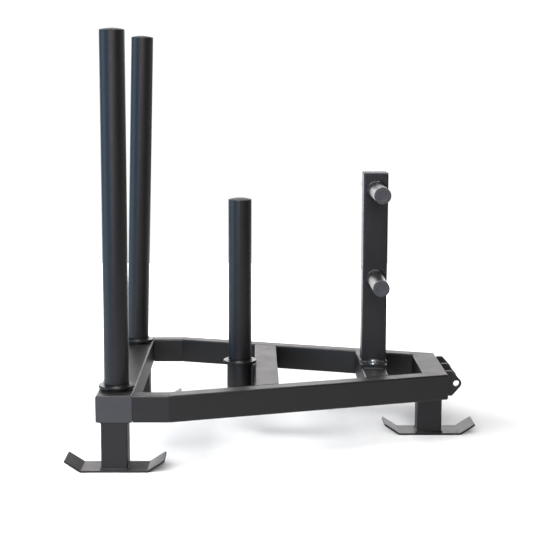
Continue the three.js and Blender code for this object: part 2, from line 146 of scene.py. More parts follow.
class SledStage(bpy.types.PropertyGroup):
    focal_length: FloatProperty(
        name="Focal length", description="Camera lens in millimetres", default=87.45, min=1)
    camera_place: FloatVectorProperty(
        name="Camera place", description="Where the camera stands",
        default=(-0.05243, -2.71461, 0.73716), subtype="TRANSLATION", unit="LENGTH", size=3)
    camera_yaw: angle_setting("Yaw", "Camera heading, left of straight on", -0.704)
    camera_pitch: angle_setting("Pitch", "How far the camera looks down", 8.190)
    camera_roll: angle_setting("Roll", "How far the picture is turned", 0.142)
    floor: colour_setting("Floor", "Colour of the studio floor", (0.86, 0.86, 0.86))
    surroundings: brightness_setting("Surroundings", "Brightness of the walls and ceiling round the sled")
    softboxes: brightness_setting("Softboxes", "Brightness of the softboxes round the sled")
    floor_lights: brightness_setting("Floor lights", "Brightness of the softboxes that light only the floor")


# What stands round the sled, by heading: brightness below the horizon, then above it.
# 0 is behind the camera, 90 is the tow end.
WALLS = (
    (-180, (2.40, 2.30, 2.20), (3.05, 2.95, 2.98)),
    (-158, (2.20, 2.15, 2.20), (3.23, 3.18, 3.29)),
    (-135, (1.21, 1.44, 1.47), (0.00, 0.00, 0.00)),
    (-115, (0.00, 0.00, 0.00), (0.00, 0.00, 0.00)),
    (-90, (1.35, 2.12, 3.12), (1.35, 2.12, 3.12)),
    (-60, (0.64, 1.07, 1.62), (0.64, 1.07, 1.62)),
    (-30, (0.00, 0.00, 0.00), (0.00, 0.00, 0.00)),
    (0, (0.00, 0.00, 0.00), (0.00, 0.00, 0.00)),
    (30, (0.51, 0.46, 0.39), (0.51, 0.46, 0.39)),
    (60, (0.00, 0.00, 0.00), (0.00, 0.00, 0.00)),
    (100, (0.56, 0.53, 0.48), (0.56, 0.53, 0.48)),
    (135, (0.00, 0.00, 0.00), (0.79, 0.93, 1.00)),
    (158, (0.00, 0.00, 0.00), (2.32, 2.31, 2.41)),
)
HORIZON = (-0.03, 0.03)                # rise of a direction where the lower walls give way to the upper
CEILING_EDGE = (0.30, 0.60)            # and where these give way to the dark ceiling
CEILING = (0.0, 0.0, 0.0, 1.0)
CAMERA_WHITE = (1.05, 1.05, 1.05, 1.0)

# Softboxes that light only the sled: place, size, power in watts and colour.
SOFTBOXES = (
    ("softbox_left", (-1.70, -2.90, 0.55), (0.8, 0.7), 9.7, (0.43, 0.69, 1.00)),
    ("softbox_middle", (-0.75, -3.25, 0.55), (0.8, 0.7), 11.7, (0.80, 0.79, 1.00)),
    ("softbox_middle_high", (-0.75, -3.25, 1.55), (0.8, 1.2), 9.0, (1.00, 0.79, 0.65)),
    ("softbox_right", (0.35, -3.35, 1.55), (0.8, 1.2), 17.2, (0.98, 0.87, 1.00)),
    ("softbox_front_top", (-0.50, -1.90, 2.20), (1.6, 1.0), 16.9, (1.00, 0.98, 0.93)),
    ("softbox_left_top", (-2.20, -0.20, 2.00), (1.0, 1.6), 9.2, (1.00, 0.87, 0.72)),
    ("softbox_overhead", (-0.35, -0.45, 2.70), (1.0, 0.8), 70.0, (1.00, 0.99, 0.96)),
)
SOFTBOX_AIM = (0, 0, 0.4)

# Softboxes far off that light only the floor: heading, rise above the floor, power in watts.
FLOOR_LIGHTS = (
    ("floor_light_front", 0, 25, 400),
    ("floor_light_front_top", 0, 70, 65),
    ("floor_light_corner", -45, 25, 147),
    ("floor_light_corner_top", -45, 45, 138),
    ("floor_light_left", -90, 30, 424),
)
FLOOR_LIGHT_REACH = 5.5
FLOOR_LIGHT_SIZE = (3.2, 3.2)

FLOOR = ((-1.7, -1.3), (1.7, 2.6))     # nearest left and farthest right corner
FLOOR_ROUGHNESS = 0.8
FLOOR_GLOSS = 0.1
FLOOR_CLOUD = (0.985, 1.5)             # darkest share of the floor's colour, and clouds in a metre
FLOOR_ECHO = 0.5                       # share of the floor's colour that bounced light meets
GLOW_PLACES = (0.6, 1.8)               # distances behind the sled's middle where a glow starts and is full
GLOW_LEVELS = (0.0, 2.1)

SENSOR_WIDTH = 36.0                    # of the camera, in millimetres
NEAREST_SEEN = 0.05                    # by the camera


def shape_settings():
    return bpy.context.scene.sled_shape


def finish_settings():
    return bpy.context.scene.sled_finish


# Reading the frame

Tube = namedtuple("Tube", "across up along low high starts ends")
Turned = namedtuple("Turned", "place length radius bore")


def node_points(node):
    return [vertex.co for vertex in frame["nodes"][node].data.vertices]


def measure_tube(node, along):
    """A straight tube's axes, its section and where its two sides start and end along it."""
    along = along.normalized()
    up = Y_AXIS if abs(along.z) > abs(along.x) + abs(along.y) else Z_AXIS
    across = up.cross(along)
    points = [(p.dot(across), p.dot(up), p.dot(along)) for p in node_points(node)]
    low = Vector((min(p[0] for p in points), min(p[1] for p in points)))
    high = Vector((max(p[0] for p in points), max(p[1] for p in points)))
    tolerance = (high.x - low.x) / 1000
    sides = [
        [p[2] for p in points if p[0] < low.x + tolerance],
        [p[2] for p in points if p[0] > high.x - tolerance],
    ]
    return Tube(across, up, along, low, high, [min(s) for s in sides], [max(s) for s in sides])


def measure_turned(node, axis):
    """A turned piece's place (its foot, with local Z along its axis), length, radius and bore."""
    axis = axis.normalized()
    points = node_points(node)
    heights = [p.dot(axis) for p in points]
    flat = [p - axis * h for p, h in zip(points, heights)]
    centre = sum(flat, Vector()) / len(flat)
    radii = [(p - centre).length for p in flat]
    foot = centre + axis * min(heights)
    place = Matrix.Translation(foot) @ axis.to_track_quat("Z", "Y").to_matrix().to_4x4()
    return Turned(place, max(heights) - min(heights), max(radii), min(radii))


def lift_axis(body):
    """The way a round post lifts out of its socket."""
    return next(Vector(j["axis"]) for j in frame["joints"] if j["child"] == body)


def rail_heading(side):
    """The way a side rail runs, from its bend to the nose: along its widest upright face."""
    faces = frame["nodes"][f"side_rail_{side}"].data.polygons
    upright = [face for face in faces if abs(face.normal.z) < 0.5]
    widest = max(upright, key=lambda face: face.area)
    heading = widest.normal.cross(Z_AXIS).normalized()
    return heading if heading.x > 0 else -heading


def outer_y(node, sign):
    """How far a node reaches to the right (-1) or to the left (1)."""
    low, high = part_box(node)
    return high.y if sign > 0 else low.y


def top_drill(tube_node, turned, radius):
    """A drill for a hole in a tube's top, where a turned piece stands: centre, axis and radius."""
    low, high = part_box(tube_node)
    centre = turned.place.translation.copy()
    centre.z = (low.z + high.z) / 2
    return centre, Z_AXIS, radius


# Outlines and skins

SHARP_ANGLE = math.radians(40)
FLAT_FACE_WEIGHT = 80
DRILL_REACH = 4                  # length of a drill, in its radii
TURNED_EDGE_STEPS = 5
PLATE_EDGE_STEPS = 3


def soften(corners, steps=4, closed=True):
    """Rounds the corners of an outline: each corner is (x, y, radius)."""
    outline = []
    count = len(corners)
    for i, (x, y, radius) in enumerate(corners):
        here = Vector((x, y))
        if radius == 0 or (not closed and i in (0, count - 1)):
            outline.append(here)
            continue
        back = (Vector(corners[i - 1][:2]) - here).normalized()
        ahead = (Vector(corners[(i + 1) % count][:2]) - here).normalized()
        half = back.angle(ahead) / 2
        centre = here + (back + ahead).normalized() * (radius / math.sin(half))
        first = here + back * (radius / math.tan(half)) - centre
        last = here + ahead * (radius / math.tan(half)) - centre
        turn = first.angle_signed(last)
        for step in range(steps + 1):
            outline.append(centre + Matrix.Rotation(-turn * step / steps, 2) @ first)
    return outline


def rounded_rectangle(low, high, radius, steps):
    spots = ((high.x, low.y), (high.x, high.y), (low.x, high.y), (low.x, low.y))
    return soften([(x, y, radius) for x, y in spots], steps)


def skin_rings(bm, rings, close_round=False, lids=False):
    """Quads between rings of points; a ring of one point is a tip."""
    rows = [[bm.verts.new(point) for point in ring] for ring in rings]
    pairs = list(zip(rows, rows[1:]))
    if close_round:
        pairs.append((rows[-1], rows[0]))
    for low, high in pairs:
        for i in range(max(len(low), len(high))):
            foot = [low[i % len(low)], low[(i + 1) % len(low)]]
            head = [high[(i + 1) % len(high)], high[i % len(high)]]
            bm.faces.new(list(dict.fromkeys(foot + head)))
    if lids:
        bm.faces.new(rows[0])
        bm.faces.new(rows[-1])


def add_piece(name, bm, body, slot, *nodes, edge=0.0, edge_steps=2):
    """Makes a piece of a skin, rounds its sharp edges if asked, and lets it stand for its nodes."""
    bmesh.ops.recalc_face_normals(bm, faces=bm.faces)
    mesh = bpy.data.meshes.new(name)
    bm.to_mesh(mesh)
    bm.free()
    mesh.shade_smooth()
    mesh.materials.append(finish_material(slot))
    piece = bpy.data.objects.new(name, mesh)
    bpy.context.scene.collection.objects.link(piece)
    if edge:
        round_edges(piece, edge, edge_steps)
    keep_flats_flat(piece)
    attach(piece, body)
    if nodes:
        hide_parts(*nodes)
    return piece


def round_edges(piece, width, steps=2):
    """Rounds the edges between faces that meet at a sharp angle."""
    bevel = piece.modifiers.new("Rounded edges", "BEVEL")
    bevel.width = width
    bevel.segments = steps
    bevel.limit_method = "ANGLE"
    bevel.angle_limit = SHARP_ANGLE
    bevel.miter_outer = "MITER_ARC"


def keep_flats_flat(piece):
    """Keeps large faces looking flat beside their rounded edges."""
    weights = piece.modifiers.new("Flat faces", "WEIGHTED_NORMAL")
    weights.mode = "FACE_AREA"
    weights.weight = FLAT_FACE_WEIGHT
    weights.keep_sharp = False


def dress_node(node, slot, edge=0.0):
    """Gives a node whose shape is right its finish and rounded edges."""
    piece = frame["nodes"][node]
    piece.data.materials.clear()
    piece.data.materials.append(finish_material(slot))
    piece.data.shade_smooth()
    if edge:
        round_edges(piece, edge)
    keep_flats_flat(piece)


def make_tube(node, along, drills=()):
    """A frame tube with round corners inside and out, and ends that may be slanted."""
    shape = shape_settings()
    tube = measure_tube(node, along)

    def ring(inset, stops):
        margin = Vector((inset, inset))
        outline = rounded_rectangle(
            tube.low + margin, tube.high - margin, shape.tube_corner - inset, shape.corner_steps)
        points = []
        for x, y in outline:
            share = (x - tube.low.x) / (tube.high.x - tube.low.x)
            stop = stops[0] + (stops[1] - stops[0]) * share
            points.append(tube.across * x + tube.up * y + tube.along * stop)
        return points

    bm = bmesh.new()
    rings = [ring(0, tube.starts), ring(0, tube.ends)]
    rings += [ring(shape.tube_wall, tube.ends), ring(shape.tube_wall, tube.starts)]
    skin_rings(bm, rings, close_round=True)
    for centre, axis, radius in drills:
        drill(bm, centre, axis, radius)
    add_piece(f"{node}_coated", bm, "frame", "coat", node, edge=shape.end_edge)


def drill(bm, centre, axis, radius):
    """Cuts a round hole through the faces of a skin from centre outwards along axis."""
    shape = shape_settings()
    bmesh.ops.recalc_face_normals(bm, faces=bm.faces)
    blank = bpy.data.meshes.new("drill_blank")
    bm.to_mesh(blank)
    bit_mesh = bpy.data.meshes.new("drill_bit")
    bit = bmesh.new()
    place = Matrix.Translation(centre) @ axis.to_track_quat("Z", "Y").to_matrix().to_4x4()
    reach = DRILL_REACH * radius
    skin_turned(bit, [(0, 0), (radius, 0), (radius, reach), (0, reach)], place, shape.turn_steps // 2)
    bmesh.ops.recalc_face_normals(bit, faces=bit.faces)
    bit.to_mesh(bit_mesh)
    bit.free()
    work = bpy.data.objects.new("drill_work", blank)
    tool = bpy.data.objects.new("drill_tool", bit_mesh)
    for thing in (work, tool):
        bpy.context.scene.collection.objects.link(thing)
    cut = work.modifiers.new("Hole", "BOOLEAN")
    cut.operation = "DIFFERENCE"
    cut.solver = "EXACT"
    cut.object = tool
    cut_mesh = bpy.data.meshes.new_from_object(work.evaluated_get(bpy.context.evaluated_depsgraph_get()))
    bm.clear()
    bm.from_mesh(cut_mesh)
    for thing in (work, tool):
        bpy.data.objects.remove(thing)
    for mesh in (blank, bit_mesh, cut_mesh):
        bpy.data.meshes.remove(mesh)


def skin_turned(bm, profile, place, steps):
    """Turns a profile of (radius, height) about local Z; it closes on itself or ends on the axis."""
    rings = []
    for radius, height in profile:
        if radius == 0:
            rings.append([place @ Vector((0, 0, height))])
            continue
        turns = [2 * math.pi * step / steps for step in range(steps)]
        rings.append([place @ Vector((radius * math.cos(t), radius * math.sin(t), height)) for t in turns])
    skin_rings(bm, rings, close_round=profile[0][0] != 0)


def make_turned(name, corners, place, body, slot, node):
    """A turned piece; each corner of its profile is (radius, height, rounding)."""
    shape = shape_settings()
    bm = bmesh.new()
    closed = corners[0][0] != 0
    skin_turned(bm, soften(corners, TURNED_EDGE_STEPS, closed), place, shape.turn_steps)
    add_piece(name, bm, body, slot, node)


def sleeve(turned, head, foot_bore=0.0, foot_rim=0.0):
    """The profile of a straight ring or tube, with the rounding of its head and of its foot's two edges."""
    return [
        (turned.bore, 0, foot_bore), (turned.radius, 0, foot_rim),
        (turned.radius, turned.length, head), (turned.bore, turned.length, head),
    ]


def plug_skirt(bore, floor, foot):
    """The profile of a hollow plug in a round tube: closed at floor, and out to the tube's end at foot."""
    shape = shape_settings()
    skirt = bore - shape.skirt_gap
    inner = skirt - shape.skirt_wall
    return [(0, floor, 0), (inner, floor, 0), (inner, 0, 0), (skirt, 0, 0), (skirt, foot, 0)]


def skin_plate(outline, place, thickness):
    """The skin of a plate with its outline in local XY, centred on it in thickness."""
    bm = bmesh.new()
    rings = [[place @ Vector((x, y, z)) for x, y in outline] for z in (-thickness / 2, thickness / 2)]
    skin_rings(bm, rings, lids=True)
    return bm


def upright_place(centre):
    """A place whose local XY is the upright plane along the sled."""
    return Matrix.Translation(centre) @ Matrix.Rotation(math.pi / 2, 4, "X")


# Weld beads

BEAD_SAMPLES = 4                 # rings of points in each ripple
BEAD_SIDES = 14                  # points in each ring
BEAD_RIPPLE = 0.16               # depth of a ripple, as a share of the bead's size
BEAD_LEAN = 0.7                  # how far a ripple trails a quarter of the way round, in ripples
BEAD_LEADER = math.pi / 4        # where round the bead a ripple is furthest ahead
BEAD_END = 0.02                  # what is left of the squared size at an open end
BEAD_DRIFTS = ((0.07, 2.9, 0), (0.05, 1.3, 1))     # slow waves in its size: share, ripples a radian, start

# Sizes of the smaller and larger welds, as shares of the usual one
CROSS_TUBE_WELD = 0.9
PLATE_WELD = 0.8
SOCKET_WELD = 0.5
PEG_WELD = 1.5


def walk(path, step, closed):
    """Even steps along a path: (point, direction, distance) for each, and the whole length."""
    corners = [Vector(p) for p in path] + ([Vector(path[0])] if closed else [])
    runs = [(b - a) for a, b in zip(corners, corners[1:])]
    length = sum(run.length for run in runs)
    count = max(4, round(length / step))
    stations = []
    run_index = 0
    passed = 0.0
    for i in range(count if closed else count + 1):
        distance = length * i / count
        while run_index < len(runs) - 1 and distance > passed + runs[run_index].length:
            passed += runs[run_index].length
            run_index += 1
        direction = runs[run_index].normalized()
        stations.append((corners[run_index] + direction * (distance - passed), direction, distance))
    return stations, length


def skin_bead(bm, path, face, closed, radius):
    """A rippled bead along a path in a corner; face points away from the plate that the path lies on."""
    shape = shape_settings()
    stations, length = walk(path, shape.weld_pitch / BEAD_SAMPLES, closed)
    pitch = length / max(1, round(length / shape.weld_pitch))
    rings = []
    for index, (point, direction, distance) in enumerate(stations):
        if closed:
            before = stations[index - 1][1]
            direction = (before + direction).normalized()
        side = direction.cross(face).normalized()
        ripples = distance / pitch
        drift = 1 + sum(share * math.sin(ripples / slow + start) for share, slow, start in BEAD_DRIFTS)
        from_end = radius if closed else min(distance, length - distance, radius)
        taper = math.sqrt(max(BEAD_END, 1 - (1 - from_end / radius) ** 2))
        ring = []
        for k in range(BEAD_SIDES):
            angle = 2 * math.pi * k / BEAD_SIDES
            lean = (1 - math.cos(angle - BEAD_LEADER)) * pitch * BEAD_LEAN
            ripple = abs(math.sin(math.pi * (distance + lean) / pitch))
            size = radius * drift * taper * (1 - BEAD_RIPPLE + BEAD_RIPPLE * ripple)
            ring.append(point + side * math.cos(angle) * size + face * math.sin(angle) * size)
        rings.append(ring)
    skin_rings(bm, rings, close_round=closed, lids=not closed)


def make_weld(name, runs, size=1.0):
    """One piece of weld made of several beads: each run is (path, face, closed)."""
    shape = shape_settings()
    bm = bmesh.new()
    for path, face, closed in runs:
        skin_bead(bm, path, face, closed, shape.weld_radius * size)
    add_piece(name, bm, "frame", "weld")


def level_ring(low, high, height):
    """A path round a square tube at a height, the right way round for a face that looks up."""
    shape = shape_settings()
    outline = rounded_rectangle(
        Vector(low[:2]), Vector(high[:2]), shape.tube_corner, shape.corner_steps)
    return [Vector((x, y, height)) for x, y in outline]


def round_ring(place, radius, steps=72):
    """A circle of points round local Z."""
    turns = [2 * math.pi * step / steps for step in range(steps)]
    return [place @ Vector((radius * math.cos(t), radius * math.sin(t), 0)) for t in turns]


def side_beads(x, low, high, foot, head, face):
    """Two upright beads, one on each side of a piece that stands on an upright face of a tube."""
    paths = [
        [Vector((x, high.y, foot)), Vector((x, high.y, head))],
        [Vector((x, low.y, head)), Vector((x, low.y, foot))],
    ]
    return [(path[::-1] if face.x > 0 else path, face, False) for path in paths]


# Materials

# Powder coats: name, settings of colour and roughness, then coarseness and depth of the grain as
# shares of the frame's, how bare the edges are (which also paints a highlight along them) and how dusty the
# tops
POWDER_COATS = {
    "coat": ("Frame powder coat", "coat", "coat_roughness", 1.0, 1.0, 0.35, 0.04),
    "pole coat": ("Pole powder coat", "pole_coat", "pole_roughness", 1.2, 1.3, 0.25, 0.03),
    "peg coat": ("Peg powder coat", "coat", "peg_roughness", 1.0, 1.0, 0.25, 0.04),
    "weld": ("Coated weld", "coat", "weld_roughness", 2.0, 1.0, 0.1, 0.0),
}

NOISE_RANGE = (0.3, 0.7)         # most of a noise texture's values lie in this range
BROAD_GRAIN = 5.0                # size of the broad waves in a coat, in grains
FINE_SHARE = 0.6                 # share of the fine grain in a coat's height
EDGE_GAIN = 9.0                  # how fast a mask of edges rises
EDGE_BREAKS = (0.3, 0.6)         # noise below this leaves an edge unlightened, and above it fully lightened to bare coat and painted highlight
DUSTY_SLOPE = (0.6, 1.0)         # faces that look up this much gather dust

# Tints of the darker or cooler patches and of the lighter or warmer ones, by colour channel
COAT_TINTS = ((0.82, 0.82, 0.82), (1.2, 1.2, 1.2))
PLASTIC_TINTS = ((0.8, 0.88, 1.0), (1.25, 1.2, 1.12))
ZINC_TINTS = ((0.86, 0.95, 1.0), (1.05, 1.0, 0.9))
PALE_EDGE = (2.0, 2.0, 2.0)

MIX_COLOURS = (6, 7)             # sockets of a Mix node: its two colours
MIX_RESULT = 2                   # and the mixed one


def add_node(tree, kind, options=None, **inputs):
    """Adds a node, with values or links for its inputs by name (an underscore stands for a space)."""
    node = tree.nodes.new(kind)
    for name, value in (options or {}).items():
        setattr(node, name, value)
    for name, value in inputs.items():
        feed(tree, node.inputs[name.replace("_", " ")], value)
    return node


def feed(tree, socket, value):
    """Links a socket to another one, or sets its value."""
    if isinstance(value, bpy.types.NodeSocket):
        tree.links.new(value, socket)
    else:
        socket.default_value = value


def add_math(tree, operation, *values, clamp=False):
    node = add_node(tree, "ShaderNodeMath", {"operation": operation, "use_clamp": clamp})
    for socket, value in zip(node.inputs, values):
        feed(tree, socket, value)
    return node.outputs[0]


def add_mix(tree, share, first, second):
    """Mixes two colours."""
    node = add_node(tree, "ShaderNodeMix", {"data_type": "RGBA"})
    feed(tree, node.inputs["Factor"], share)
    for socket, colour in zip(MIX_COLOURS, (first, second)):
        feed(tree, node.inputs[socket], colour)
    return node.outputs[MIX_RESULT]


def remap(tree, value, before, after=(0.0, 1.0)):
    """Carries one range of values over to another."""
    node = add_node(
        tree, "ShaderNodeMapRange", Value=value, From_Min=before[0], From_Max=before[1],
        To_Min=after[0], To_Max=after[1])
    return node.outputs["Result"]


def opaque(colour):
    return (*colour, 1.0)


def tinted(colour, tint):
    return opaque(c * t for c, t in zip(colour, tint))


def new_group(name, inputs, outputs):
    """A shader node group with named number inputs and number outputs."""
    group = bpy.data.node_groups.new(name, "ShaderNodeTree")
    for socket_name, default in inputs:
        socket = group.interface.new_socket(socket_name, in_out="INPUT", socket_type="NodeSocketFloat")
        socket.default_value = default
    for socket_name in outputs:
        group.interface.new_socket(socket_name, in_out="OUTPUT", socket_type="NodeSocketFloat")
    return group, group.nodes.new("NodeGroupInput"), group.nodes.new("NodeGroupOutput")


def powder_grain_group():
    """Fine peel of a baked powder coat, and slow changes of tone over it."""
    name = "Powder grain"
    if name in bpy.data.node_groups:
        return bpy.data.node_groups[name]
    group, inside, outside = new_group(name, [("Grain", 0.001), ("Patch", 0.03)], ["Height", "Tone"])
    place = add_node(group, "ShaderNodeTexCoord").outputs["Object"]
    fine_scale = add_math(group, "DIVIDE", 1.0, inside.outputs["Grain"])
    broad_scale = add_math(group, "DIVIDE", fine_scale, BROAD_GRAIN)
    patch_scale = add_math(group, "DIVIDE", 1.0, inside.outputs["Patch"])
    fine = add_node(group, "ShaderNodeTexNoise", Vector=place, Scale=fine_scale, Detail=2.0, Roughness=0.6)
    broad = add_node(group, "ShaderNodeTexNoise", Vector=place, Scale=broad_scale, Detail=1.0)
    patch = add_node(group, "ShaderNodeTexNoise", Vector=place, Scale=patch_scale, Detail=4.0, Roughness=0.65)
    fine_part = add_math(group, "MULTIPLY", fine.outputs["Fac"], FINE_SHARE)
    broad_part = add_math(group, "MULTIPLY", broad.outputs["Fac"], 1 - FINE_SHARE)
    group.links.new(add_math(group, "ADD", fine_part, broad_part), outside.inputs["Height"])
    group.links.new(patch.outputs["Fac"], outside.inputs["Tone"])
    return group


def thin_edge_and_highlight_group():
    """A mask of outer edges, broken up, where a coat is thin or rubbed; the same mask paints the highlight
    that rounded edges catch.
    """
    name = "Thin edges"
    if name in bpy.data.node_groups:
        return bpy.data.node_groups[name]
    inputs = [("Width", 0.001), ("Breakup", 0.004), ("Amount", 0.5)]
    group, inside, outside = new_group(name, inputs, ["Mask"])
    place = add_node(group, "ShaderNodeTexCoord").outputs["Object"]
    soft = add_node(group, "ShaderNodeBevel", {"samples": 4}, Radius=inside.outputs["Width"])
    true = add_node(group, "ShaderNodeNewGeometry")
    dot = add_node(group, "ShaderNodeVectorMath", {"operation": "DOT_PRODUCT"})
    group.links.new(soft.outputs["Normal"], dot.inputs[0])
    group.links.new(true.outputs["Normal"], dot.inputs[1])
    away = add_math(group, "SUBTRACT", 1.0, dot.outputs["Value"])
    edge = add_math(group, "MULTIPLY", away, EDGE_GAIN, clamp=True)
    scale = add_math(group, "DIVIDE", 1.0, inside.outputs["Breakup"])
    noise = add_node(group, "ShaderNodeTexNoise", Vector=place, Scale=scale, Detail=3.0)
    patchy = remap(group, noise.outputs["Fac"], EDGE_BREAKS)
    mask = add_math(group, "MULTIPLY", edge, patchy)
    group.links.new(add_math(group, "MULTIPLY", mask, inside.outputs["Amount"]), outside.inputs["Mask"])
    return group


def settled_dust_group():
    """A mask of faint dust on faces that look up."""
    name = "Settled dust"
    if name in bpy.data.node_groups:
        return bpy.data.node_groups[name]
    group, inside, outside = new_group(name, [("Patch", 0.02), ("Amount", 0.1)], ["Mask"])
    place = add_node(group, "ShaderNodeTexCoord").outputs["Object"]
    normal = add_node(group, "ShaderNodeNewGeometry").outputs["Normal"]
    upward = add_node(group, "ShaderNodeSeparateXYZ", Vector=normal).outputs["Z"]
    lying = remap(group, upward, DUSTY_SLOPE)
    scale = add_math(group, "DIVIDE", 1.0, inside.outputs["Patch"])
    noise = add_node(group, "ShaderNodeTexNoise", Vector=place, Scale=scale, Detail=6.0, Roughness=0.7)
    mask = add_math(group, "MULTIPLY", lying, noise.outputs["Fac"])
    group.links.new(add_math(group, "MULTIPLY", mask, inside.outputs["Amount"]), outside.inputs["Mask"])
    return group


def place_group(tree, group, **inputs):
    return add_node(tree, "ShaderNodeGroup", {"node_tree": group}, **inputs)


def new_material(name):
    """A material with one Principled BSDF, and its tree and shader."""
    material = bpy.data.materials.new(name)
    material.use_nodes = True
    tree = material.node_tree
    shader = next(n for n in tree.nodes if n.type == "BSDF_PRINCIPLED")
    return material, tree, shader


def feed_shader(tree, shader, base, roughness, height, depth):
    """Feeds a shader its colour, its roughness and its bump."""
    tree.links.new(base, shader.inputs["Base Color"])
    tree.links.new(roughness, shader.inputs["Roughness"])
    bump = add_node(tree, "ShaderNodeBump", Strength=1.0, Distance=depth, Height=height)
    tree.links.new(bump.outputs["Normal"], shader.inputs["Normal"])


def patchy_roughness(tree, tone, middle, change):
    return remap(tree, tone, NOISE_RANGE, (middle - change, middle + change))


def powder_coat(title, colour, roughness, coarseness, depth, thin_edges, dust):
    """Satin black powder coat: peel, slow tone, pale thin edges that also paint an edge highlight, and a
    breath of dust.
    """
    finish = finish_settings()
    material, tree, shader = new_material(title)
    powder = place_group(tree, powder_grain_group(), Grain=finish.grain * coarseness, Patch=0.035)
    edges = place_group(tree, thin_edge_and_highlight_group(), Width=0.0012, Breakup=0.006, Amount=thin_edges)
    settled = place_group(tree, settled_dust_group(), Patch=0.012, Amount=dust)
    tone = powder.outputs["Tone"]
    tones = [tinted(getattr(finish, colour), tint) for tint in COAT_TINTS]
    base = add_mix(tree, tone, *tones)
    # Edges are mixed toward the thin coat colour: bare coat and a painted highlight along rounded edges
    base = add_mix(tree, edges.outputs["Mask"], base, opaque(finish.thin_coat_and_edge_highlight))
    base = add_mix(tree, settled.outputs["Mask"], base, opaque(finish.dust))
    sheen = patchy_roughness(tree, tone, getattr(finish, roughness), change=0.035)
    rough = add_math(tree, "ADD", sheen, settled.outputs["Mask"], clamp=True)
    feed_shader(tree, shader, base, rough, powder.outputs["Height"], finish.grain_depth * depth)
    return material


def plastic_material():
    """Moulded plastic with a fine matt texture, mottled a little bluish."""
    finish = finish_settings()
    material, tree, shader = new_material("Plug plastic")
    texture = place_group(tree, powder_grain_group(), Grain=0.0006, Patch=0.009)
    edges = place_group(tree, thin_edge_and_highlight_group(), Width=0.0008, Breakup=0.003, Amount=0.3)
    tone = texture.outputs["Tone"]
    base = add_mix(tree, tone, *[tinted(finish.plastic, tint) for tint in PLASTIC_TINTS])
    base = add_mix(tree, edges.outputs["Mask"], base, tinted(finish.plastic, PALE_EDGE))
    rough = patchy_roughness(tree, tone, finish.plastic_roughness, change=0.06)
    feed_shader(tree, shader, base, rough, texture.outputs["Height"], depth=0.00004)
    return material


def zinc_material():
    """Bright zinc plate with a faint spangle."""
    finish = finish_settings()
    material, tree, shader = new_material("Zinc plate")
    shader.inputs["Metallic"].default_value = 1.0
    place = add_node(tree, "ShaderNodeTexCoord").outputs["Object"]
    spangle = add_node(tree, "ShaderNodeTexVoronoi", Vector=place, Scale=900.0)
    grain = place_group(tree, powder_grain_group(), Grain=0.0005, Patch=0.004)
    base = add_mix(tree, grain.outputs["Tone"], *[tinted(finish.zinc, tint) for tint in ZINC_TINTS])
    rough = remap(tree, spangle.outputs["Distance"], before=(0.0, 0.8), after=(0.2, 0.36))
    feed_shader(tree, shader, base, rough, grain.outputs["Height"], depth=0.00002)
    return material


made_materials = {}


def finish_material(finish):
    """The material of a finish, made once."""
    if finish not in made_materials:
        if finish in POWDER_COATS:
            made_materials[finish] = powder_coat(*POWDER_COATS[finish])
        else:
            made_materials[finish] = {"plastic": plastic_material, "zinc": zinc_material}[finish]()
    return made_materials[finish]


# Pieces

# A hexagon bolt's head: heights of its rings as shares of the head, the slope that cuts its corners,
# its flat crown as a share of the width, and its dish as shares of the crown and of the height
BOLT_HEIGHTS = (0, 0.1, 0.55, 0.66, 0.77, 0.88, 1)
BOLT_CHAMFER = math.radians(30)
BOLT_CROWN = 0.94
BOLT_DISH = ((0.8, 0), (0.74, 1 / 14))

# A peg's plug: its dish as a share of its radius, then its floor and edges as shares of its thickness
PEG_DISH = 0.5
PEG_FLOOR = 1 / 3
PEG_EDGES = (1 / 8, 1 / 2.5)


class SLED_OT_rear_tube(bpy.types.Operator):
    """Rear cross tube with holes in its top for the pole sockets"""
    bl_idname = "sled.rear_tube"
    bl_label = "Rear cross tube"

    def execute(self, context):
        sockets = [measure_turned(f"pole_socket_{side}", Z_AXIS) for side, _ in SIDES]
        drills = [top_drill("rear_cross_tube", socket, socket.radius) for socket in sockets]
        make_tube("rear_cross_tube", Y_AXIS, drills)
        return {"FINISHED"}


def make_flat_plug(node, half, thickness, depth, place):
    """A plug for a flat tube: a flange with soft edges and a hollow skirt behind it, facing local Z."""
    shape = shape_settings()
    flange = rounded_rectangle(-half, half, shape.tube_corner, shape.corner_steps)
    middle = place @ Matrix.Translation((0, 0, -thickness / 2))
    bm = skin_plate(flange, middle, thickness)
    add_piece(f"{node}_flange", bm, "frame", "plastic", node, edge=shape.plug_edge, edge_steps=4)
    inset = shape.tube_wall + shape.skirt_gap
    rings = []
    for margin, height in ((0, 0), (0, -depth), (shape.skirt_wall, -depth), (shape.skirt_wall, 0)):
        edge = Vector((inset + margin, inset + margin))
        radius = max(shape.tube_corner - inset - margin, shape.skirt_gap)
        outline = rounded_rectangle(-half + edge, half - edge, radius, shape.corner_steps)
        rings.append([place @ Vector((x, y, height - thickness)) for x, y in outline])
    bm = bmesh.new()
    skin_rings(bm, rings, close_round=True)
    add_piece(f"{node}_skirt", bm, "frame", "plastic")


class SLED_OT_end_caps(bpy.types.Operator):
    """Plastic plugs in the ends of the rear cross tube"""
    bl_idname = "sled.end_caps"
    bl_label = "Rear end caps"

    def execute(self, context):
        for side, sign in SIDES:
            node = f"rear_end_cap_{side}"
            low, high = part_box(node)
            face = outer_y(node, sign)
            thickness = abs(face - outer_y("rear_cross_tube", sign)) - shape_settings().skirt_gap
            depth = high.y - low.y - thickness
            middle = Vector(((low.x + high.x) / 2, face, (low.z + high.z) / 2))
            turn = Matrix((X_AXIS * -sign, Z_AXIS, Y_AXIS * sign)).transposed().to_4x4()
            half = Vector((high.x - low.x, high.z - low.z)) / 2
            make_flat_plug(node, half, thickness, depth, Matrix.Translation(middle) @ turn)
        return {"FINISHED"}


